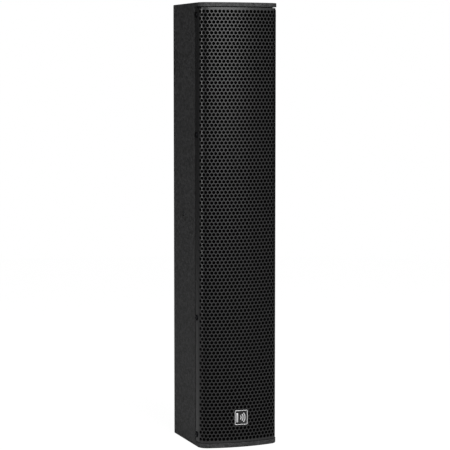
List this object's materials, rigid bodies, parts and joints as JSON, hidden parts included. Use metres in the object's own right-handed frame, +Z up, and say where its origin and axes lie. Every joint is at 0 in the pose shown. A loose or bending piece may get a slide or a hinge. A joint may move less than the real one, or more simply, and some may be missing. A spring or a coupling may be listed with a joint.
{
  "type": "column loudspeaker",
  "caption": "Slim column loudspeaker in a black plywood cabinet with a curved perforated steel grille, side inserts for a yoke and a recessed connector dish in the back.",
  "frame": {"origin": "On the floor under the middle of the whole box.", "axes": "X runs across, to the right seen from the front; the front faces -Y; Z is up."},
  "size_m": [0.141, 0.1492, 0.7377],
  "materials": {
    "cabinet_paint": "black textured polyurethane paint on birch plywood",
    "baffle_paint": "thin matt black paint on birch plywood",
    "birch_plywood": "bare birch plywood",
    "grille_powder_coat": "black semi-gloss powder coat on perforated steel",
    "acoustic_foam": "black open-cell foam",
    "badge_metal": "bright satin metal with black fields",
    "black_screw": "black oxide steel",
    "zinc_steel": "zinc-plated steel",
    "basket_metal": "black coated pressed steel",
    "ferrite": "sintered ferrite between zinc-plated steel plates",
    "cone_paper": "black pressed paper pulp",
    "coil_copper": "enamelled copper wire",
    "surround_rubber": "black butyl rubber",
    "spider_cloth": "resin-dipped cotton",
    "gasket_foam": "black closed-cell foam",
    "horn_plastic": "black moulded ABS",
    "diaphragm_foil": "thin drawn metal foil",
    "cover_metal": "black painted steel",
    "port_plastic": "black moulded ABS",
    "dish_plastic": "black moulded ABS with fine grain",
    "socket_plastic": "black glass-filled nylon",
    "board_laminate": "green glass-fibre laminate",
    "nylon": "natural nylon",
    "capacitor_plastic": "wrapped polyester film",
    "cement_ceramic": "cement-filled ceramic",
    "wadding": "polyester wadding"
  },
  "bodies": {
    "cabinet": {"board_screws": "zinc_steel", "board_standoffs": "nylon", "bottom_panel": "cabinet_paint", "connector_dish": "dish_plastic", "crossover_board": "board_laminate", "crossover_capacitors": "capacitor_plastic", "crossover_inductors": "coil_copper", "crossover_resistor": "cement_ceramic", "damping_wadding": "wadding", "dish_gasket": "gasket_foam", "dish_screws": "black_screw", "driver_screws": "black_screw", "front_baffle": "baffle_paint", "grille": "grille_powder_coat", "grille_badge": "badge_metal", "grille_foam": "acoustic_foam", "grille_screws": "black_screw", "horn": "horn_plastic", "horn_driver_cover": "cover_metal", "horn_driver_magnet": "ferrite", "input_socket": "socket_plastic", "link_socket": "socket_plastic", "lower_brace": "birch_plywood", "lower_port": "port_plastic", "port_screws": "black_screw", "rear_inserts": "zinc_steel", "rear_panel": "cabinet_paint", "side_inserts": "zinc_steel", "side_panel_left": "cabinet_paint", "side_panel_right": "cabinet_paint", "socket_screws": "black_screw", "top_panel": "cabinet_paint", "upper_brace": "birch_plywood", "upper_port": "port_plastic", "woofer_1_basket": "basket_metal", "woofer_1_magnet": "ferrite", "woofer_1_spider": "spider_cloth", "woofer_1_surround": "surround_rubber", "woofer_2_basket": "basket_metal", "woofer_2_magnet": "ferrite", "woofer_2_spider": "spider_cloth", "woofer_2_surround": "surround_rubber", "woofer_3_basket": "basket_metal", "woofer_3_magnet": "ferrite", "woofer_3_spider": "spider_cloth", "woofer_3_surround": "surround_rubber", "woofer_4_basket": "basket_metal", "woofer_4_magnet": "ferrite", "woofer_4_spider": "spider_cloth", "woofer_4_surround": "surround_rubber", "woofer_gaskets": "gasket_foam"},
    "woofer_1_cone_body": {"woofer_1_cone": "cone_paper", "woofer_1_voice_coil": "coil_copper"},
    "woofer_2_cone_body": {"woofer_2_cone": "cone_paper", "woofer_2_voice_coil": "coil_copper"},
    "woofer_3_cone_body": {"woofer_3_cone": "cone_paper", "woofer_3_voice_coil": "coil_copper"},
    "woofer_4_cone_body": {"woofer_4_cone": "cone_paper", "woofer_4_voice_coil": "coil_copper"},
    "horn_diaphragm_body": {"horn_driver_diaphragm": "diaphragm_foil"}
  },
  "joints": [
    {"name": "woofer_1_stroke", "type": "slide", "parent": "cabinet", "child": "woofer_1_cone_body", "axis": [0, -1, 0], "range_m": [-0.003, 0.003], "stiffness_N_per_m": 1900, "deforming": ["woofer_1_surround", "woofer_1_spider"]},
    {"name": "woofer_2_stroke", "type": "slide", "parent": "cabinet", "child": "woofer_2_cone_body", "axis": [0, -1, 0], "range_m": [-0.003, 0.003], "stiffness_N_per_m": 1900, "deforming": ["woofer_2_surround", "woofer_2_spider"]},
    {"name": "woofer_3_stroke", "type": "slide", "parent": "cabinet", "child": "woofer_3_cone_body", "axis": [0, -1, 0], "range_m": [-0.003, 0.003], "stiffness_N_per_m": 1900, "deforming": ["woofer_3_surround", "woofer_3_spider"]},
    {"name": "woofer_4_stroke", "type": "slide", "parent": "cabinet", "child": "woofer_4_cone_body", "axis": [0, -1, 0], "range_m": [-0.003, 0.003], "stiffness_N_per_m": 1900, "deforming": ["woofer_4_surround", "woofer_4_spider"]},
    {"name": "horn_diaphragm_stroke", "type": "slide", "parent": "cabinet", "child": "horn_diaphragm_body", "axis": [0, -1, 0], "range_m": [-0.0003, 0.0003], "stiffness_N_per_m": 2500}
  ]
}
